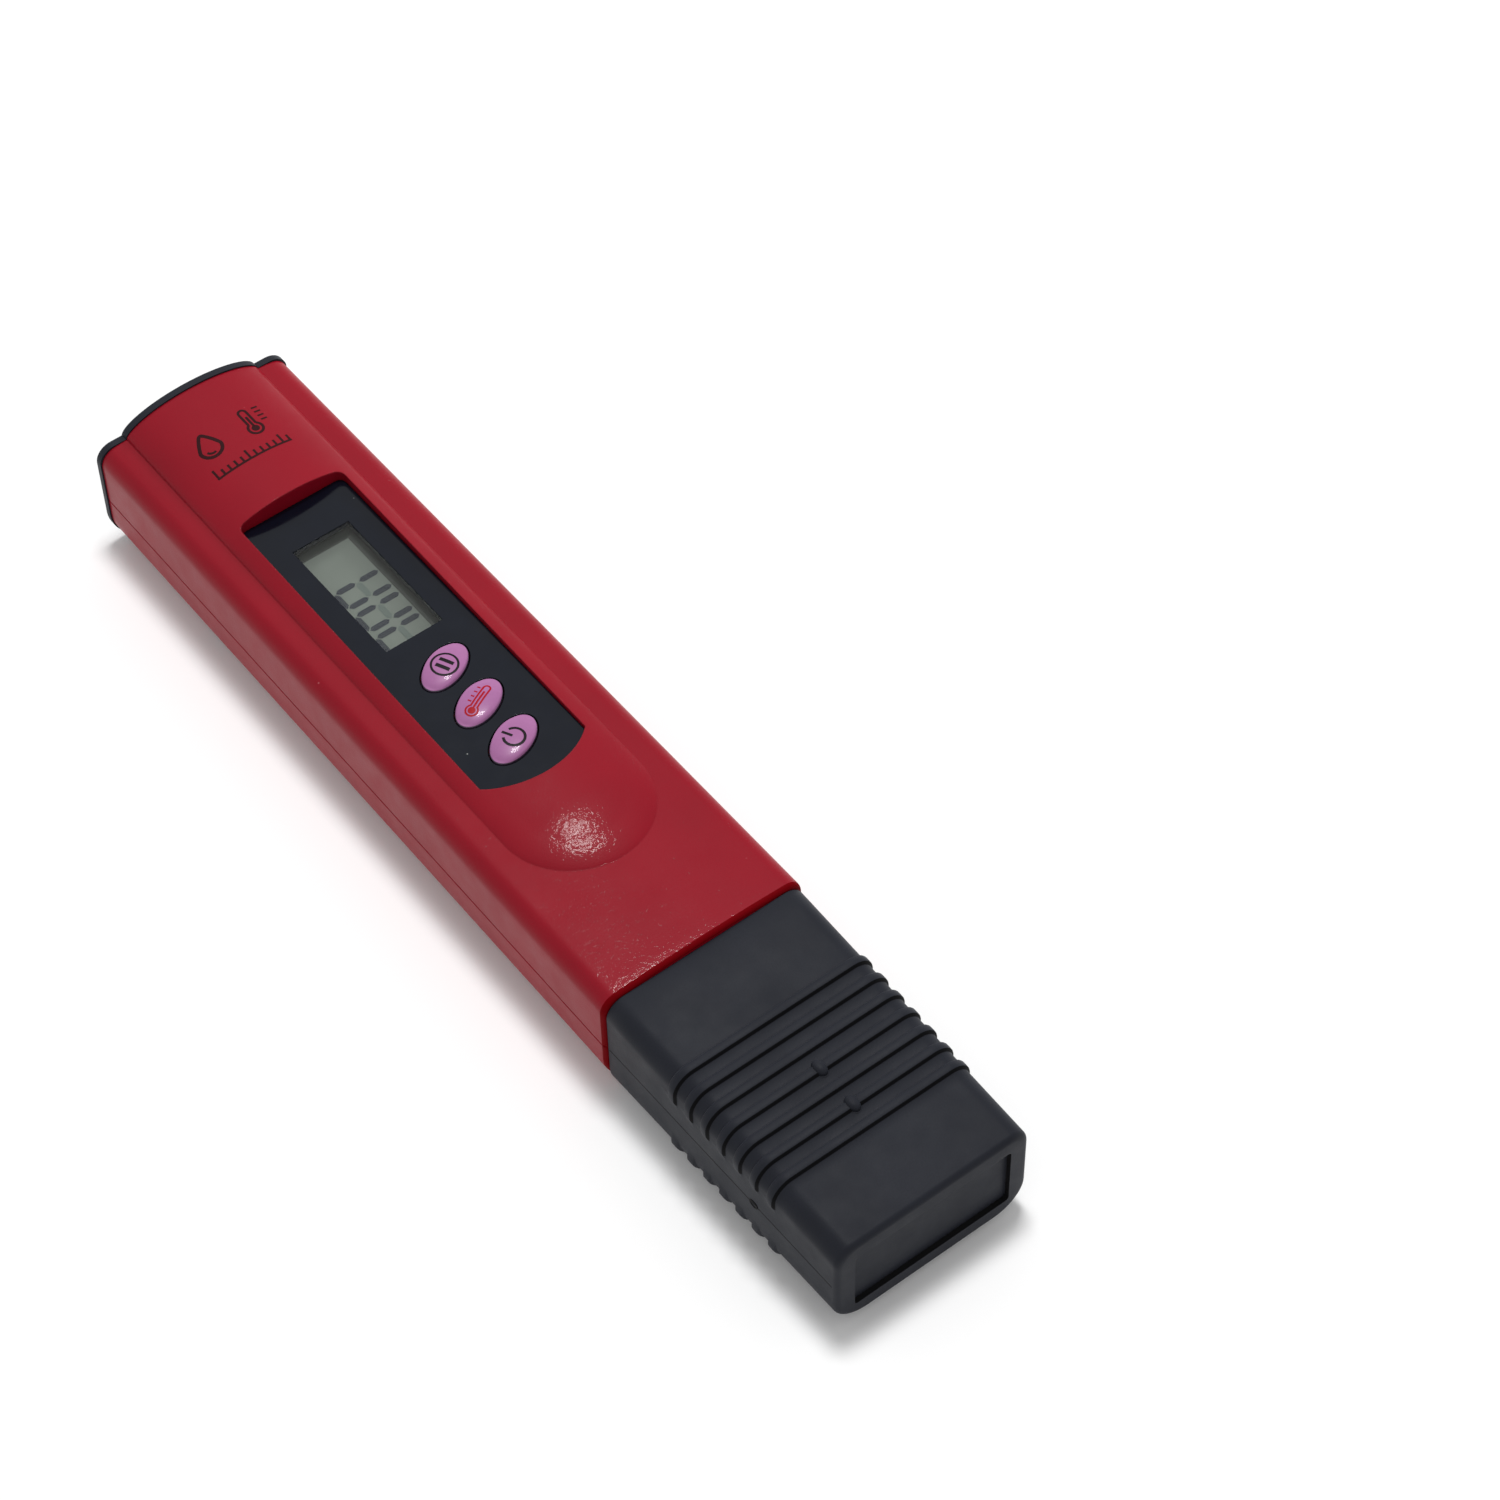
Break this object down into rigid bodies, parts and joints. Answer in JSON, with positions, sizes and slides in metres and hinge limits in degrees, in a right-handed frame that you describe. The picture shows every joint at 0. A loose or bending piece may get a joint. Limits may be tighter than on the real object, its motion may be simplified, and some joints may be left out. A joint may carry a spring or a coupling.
{
  "type": "digital water tester",
  "caption": "Slim pen-shaped water tester with a small display, oval push buttons, a battery end cap and a ribbed pull-off cap over its electrodes.",
  "frame": {"origin": "middle of the pen's outline, on the plane of its flat back", "axes": "+Z out of the display side, +Y along the pen towards the battery end, +X to the right when the front is read with the battery end up"},
  "size_m": [0.0298, 0.155, 0.0211],
  "materials": {
    "red_shell": "moulded ABS with a fine spark texture",
    "end_cap": "moulded ABS, satin",
    "cap": "moulded soft PVC or PP, matte",
    "panel": "glossy printed sheet",
    "window": "clear acrylic",
    "button": "glossy domed resin",
    "screw": "zinc-plated steel",
    "board": "green solder mask",
    "display_glass": "display glass",
    "polariser": "grey-green film",
    "reflector": "brushed silver film",
    "frame": "moulded white ABS",
    "strip": "banded conductive silicone",
    "switch": "moulded nylon",
    "plunger": "moulded nylon",
    "resin": "black epoxy",
    "can": "nickel-plated can",
    "chip_part": "ceramic chips",
    "trimmer": "blue nylon",
    "rotor": "ivory nylon",
    "holder": "moulded ABS",
    "cell": "nickel-plated can",
    "contact": "plated spring steel",
    "probe": "moulded ABS",
    "seal": "nitrile rubber",
    "electrode": "polished titanium",
    "sensor": "stainless sheath",
    "lead": "insulated wire"
  },
  "bodies": {
    "pen": {"front_shell": "red_shell", "rear_shell": "red_shell", "display_panel": "panel", "display_window": "window", "case_screws": "screw", "circuit_board": "board", "board_screws": "screw", "lcd_cell": "display_glass", "lcd_polariser": "polariser", "lcd_reflector": "reflector", "lcd_frame": "frame", "contact_strips": "strip", "switch_bodies": "switch", "chip_cover": "resin", "crystal": "can", "small_parts": "chip_part", "trimmer_body": "trimmer", "battery_holder": "holder", "battery_cell_upper": "cell", "battery_cell_lower": "cell", "contact_plus": "contact", "contact_minus": "contact", "probe_holder": "probe", "probe_seal": "seal", "electrode_left": "electrode", "electrode_right": "electrode", "temperature_sensor": "sensor", "probe_leads": "lead"},
    "probe_cap": {"probe_cap": "cap"},
    "battery_cap": {"battery_cap": "end_cap"},
    "hold_button": {"hold_button": "button", "hold_plunger": "plunger"},
    "temperature_button": {"temperature_button": "button", "temperature_plunger": "plunger"},
    "power_button": {"power_button": "button", "power_plunger": "plunger"},
    "trimmer_rotor": {"trimmer_rotor": "rotor"}
  },
  "joints": [
    {"name": "probe_cap_slide", "type": "slide", "parent": "pen", "child": "probe_cap", "axis": [0, -1, 0], "range_m": [0, 0.06]},
    {"name": "battery_cap_slide", "type": "slide", "parent": "pen", "child": "battery_cap", "axis": [0, 1, 0], "range_m": [0, 0.02]},
    {"name": "hold_press", "type": "slide", "parent": "pen", "child": "hold_button", "axis": [0, 0, -1], "range_m": [0, 0.0004], "stiffness_N_per_m": 1500},
    {"name": "temperature_press", "type": "slide", "parent": "pen", "child": "temperature_button", "axis": [0, 0, -1], "range_m": [0, 0.0004], "stiffness_N_per_m": 1500},
    {"name": "power_press", "type": "slide", "parent": "pen", "child": "power_button", "axis": [0, 0, -1], "range_m": [0, 0.0004], "stiffness_N_per_m": 1500},
    {"name": "trimmer_turn", "type": "hinge", "parent": "pen", "child": "trimmer_rotor", "pos_m": [-0.004, 0.002, 0.009], "axis": [0, 0, -1], "range_deg": [-120, 120]}
  ]
}
